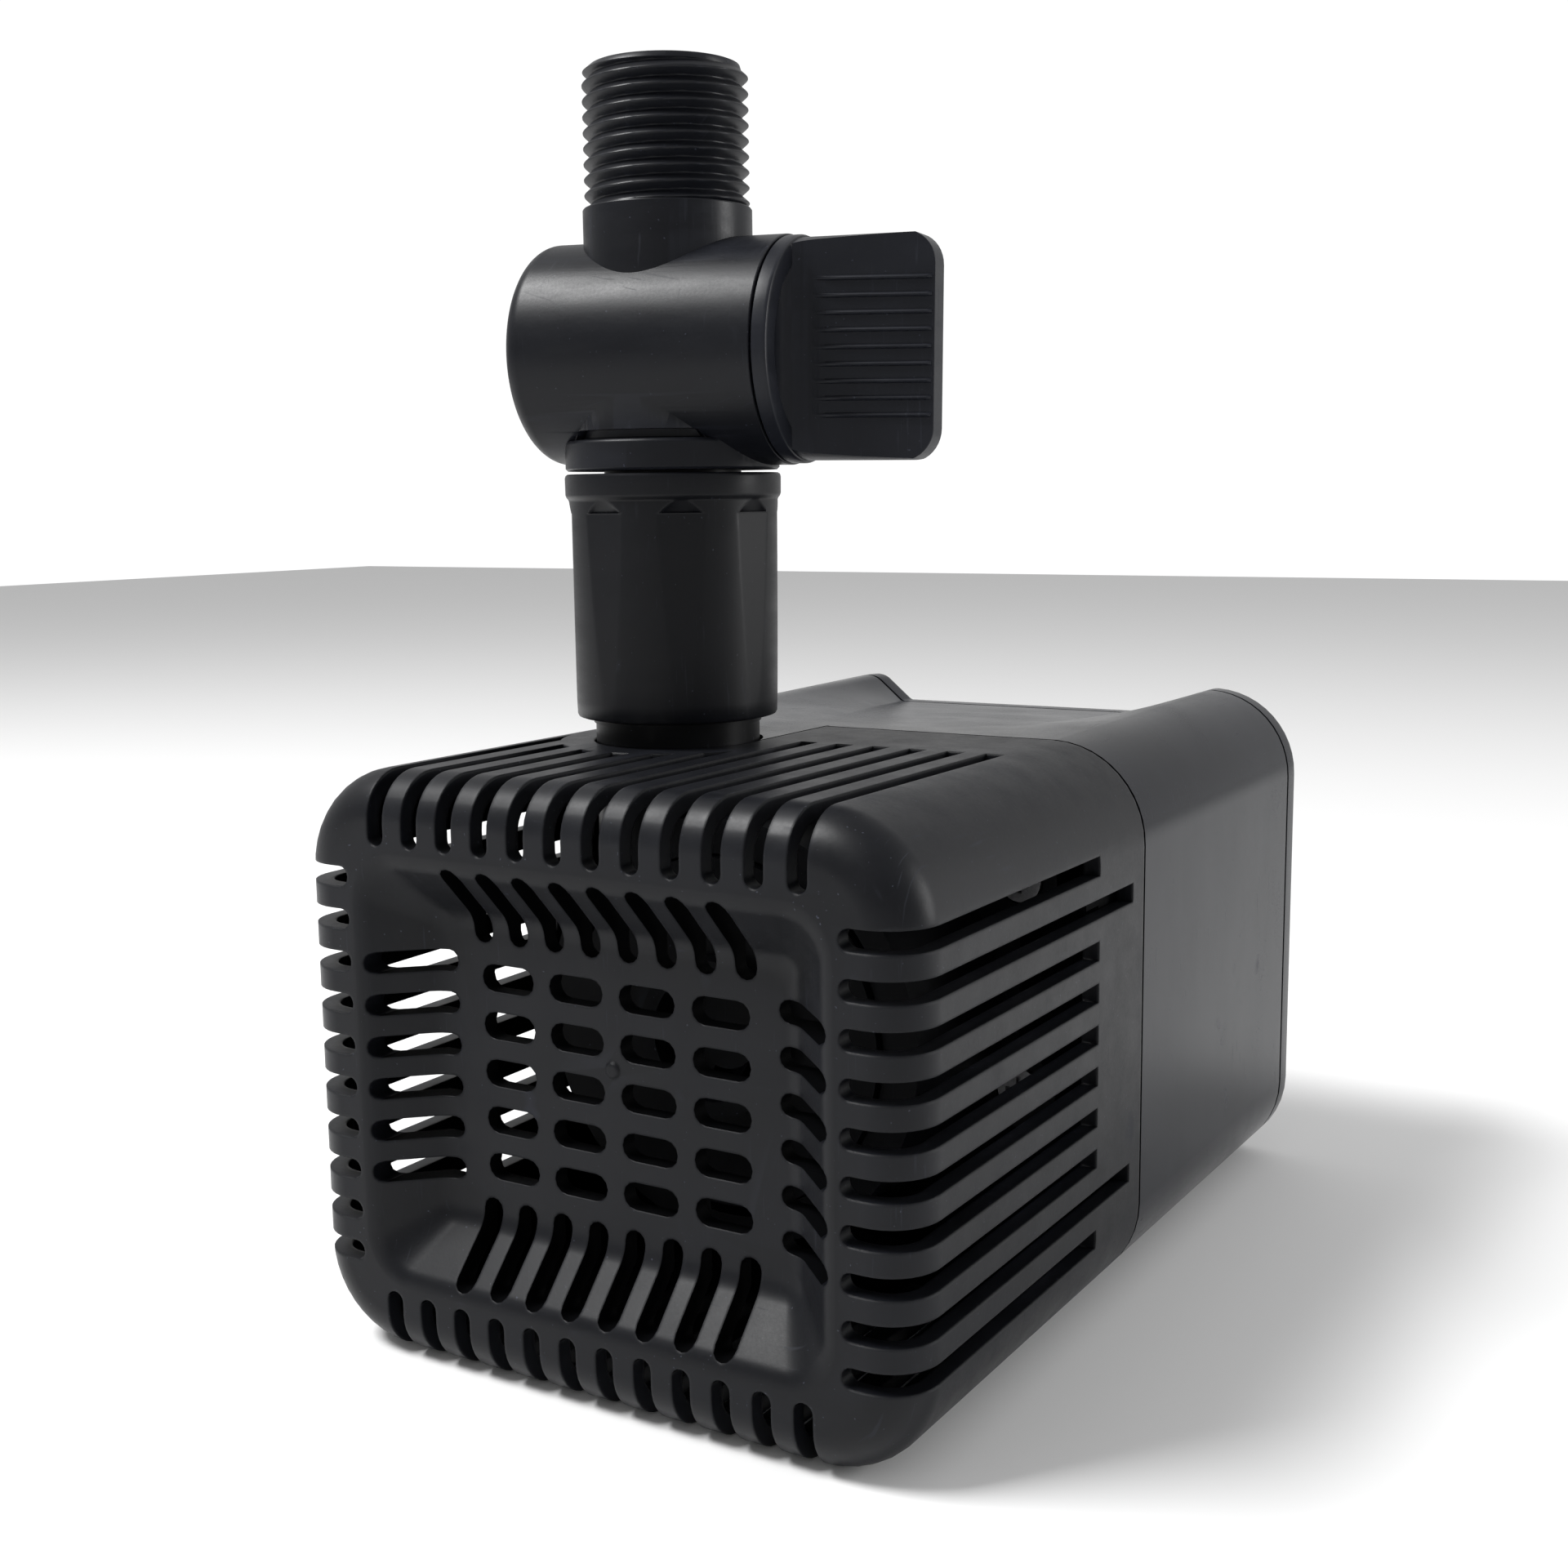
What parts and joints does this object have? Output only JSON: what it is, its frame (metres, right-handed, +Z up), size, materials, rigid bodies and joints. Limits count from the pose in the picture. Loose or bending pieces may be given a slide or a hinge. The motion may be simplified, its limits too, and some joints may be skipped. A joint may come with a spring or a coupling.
{
  "type": "submersible fountain pump",
  "caption": "Submersible fountain pump: slotted strainer cage pulls off a potted motor housing; riser with union nut, flow valve and threaded outlet on top.",
  "frame": {"origin": "on the floor, under the middle of the box around the whole pump", "axes": "+Z up, +Y from the front grille to the back plate, +X to the right seen from the front"},
  "size_m": [0.085, 0.1264, 0.1576],
  "materials": {
    "cage_plastic": "satin black moulded plastic",
    "housing_plastic": "smooth black moulded plastic with a soft sheen",
    "head_plastic": "matt black moulded plastic",
    "riser_plastic": "satin black moulded plastic with soft highlights",
    "rotor_plastic": "dark grey moulded plastic",
    "seal_rubber": "matt black rubber",
    "magnet": "dull grey ferrite",
    "shaft_ceramic": "polished white ceramic",
    "core_steel": "stacked sheet steel, dull",
    "bobbin_nylon": "off-white nylon",
    "coil_copper": "enamelled copper wire",
    "potting_resin": "hard dark casting resin",
    "screw_steel": "plain stainless"
  },
  "bodies": {
    "housing": {"rear_housing": "housing_plastic", "back_plate": "housing_plastic", "pump_head": "head_plastic", "rotor_can": "rotor_plastic", "rotor_shaft": "shaft_ceramic", "rear_bush": "seal_rubber", "stator_core": "core_steel", "left_bobbin": "bobbin_nylon", "right_bobbin": "bobbin_nylon", "left_coil": "coil_copper", "right_coil": "coil_copper", "potting_block": "potting_resin", "cable_gland": "seal_rubber", "head_screws": "screw_steel", "union_seal": "seal_rubber"},
    "cage": {"front_cage": "cage_plastic"},
    "cover": {"impeller_cover": "head_plastic", "cover_seal": "seal_rubber", "front_bush": "seal_rubber"},
    "rotor": {"impeller": "rotor_plastic", "rotor_magnet": "magnet"},
    "nut": {"union_nut": "riser_plastic"},
    "valve": {"valve_body": "riser_plastic"},
    "knob": {"valve_knob": "riser_plastic", "valve_seals": "seal_rubber"}
  },
  "joints": [
    {"name": "cage_slide", "type": "slide", "parent": "housing", "child": "cage", "axis": [0, -1, 0], "range_m": [0, 0.075]},
    {"name": "cover_twist", "type": "hinge", "parent": "housing", "child": "cover", "pos_m": [0, -0.03125, 0.038], "axis": [0, 1, 0], "range_deg": [0, 25]},
    {"name": "rotor_spin", "type": "hinge", "parent": "housing", "child": "rotor", "pos_m": [0, -0.00325, 0.038], "axis": [0, 1, 0], "continuous": true},
    {"name": "nut_turn", "type": "hinge", "parent": "housing", "child": "nut", "pos_m": [-0.015, -0.02045, 0.09], "axis": [0, 0, 1], "continuous": true},
    {"name": "valve_swivel", "type": "hinge", "parent": "housing", "child": "valve", "pos_m": [-0.015, -0.02045, 0.12235], "axis": [0, 0, 1], "continuous": true},
    {"name": "valve_turn", "type": "hinge", "parent": "valve", "child": "knob", "pos_m": [-0.015, -0.02045, 0.12235], "axis": [0.9884, 0.1512, -0.014], "range_deg": [0, 90]}
  ]
}
